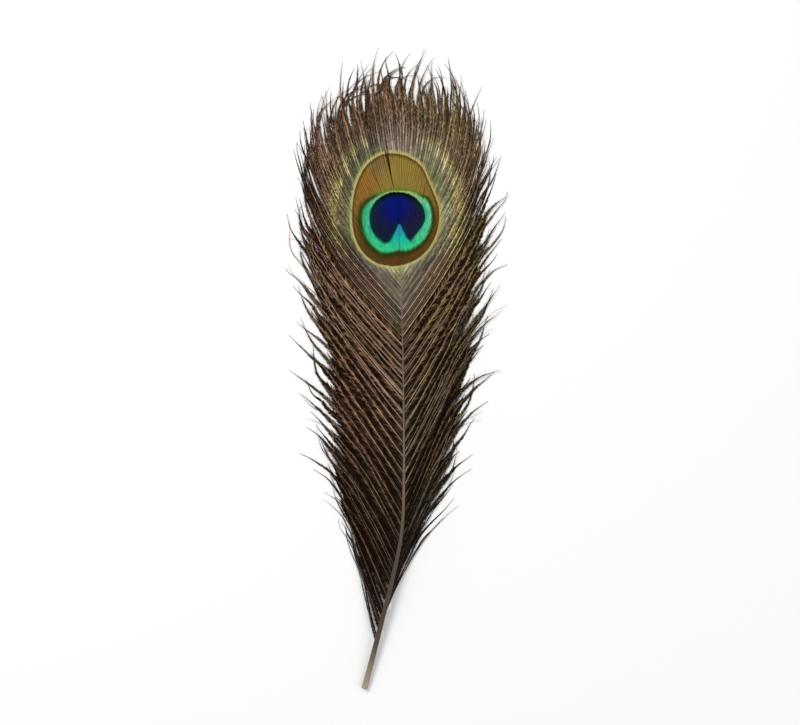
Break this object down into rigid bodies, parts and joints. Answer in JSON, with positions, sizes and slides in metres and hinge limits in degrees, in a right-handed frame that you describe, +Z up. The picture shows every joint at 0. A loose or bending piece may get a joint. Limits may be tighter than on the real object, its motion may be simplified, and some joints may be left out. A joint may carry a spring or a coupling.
{
  "type": "peacock feather",
  "caption": "Cut peacock tail feather with a blue and bronze eye, loose barbs and a bare quill, lying face up and gently arched.",
  "frame": {"origin": "bottom centre of the feather's box, on the surface that it lies on", "axes": "+Y along the feather from the cut quill to the crown, +Z up out of its face, +X to the right as the face is seen"},
  "size_m": [0.104, 0.2962, 0.0094],
  "materials": {
    "feather": "satin"
  },
  "bodies": {
    "root": {"feather": "feather"}
  },
  "joints": []
}
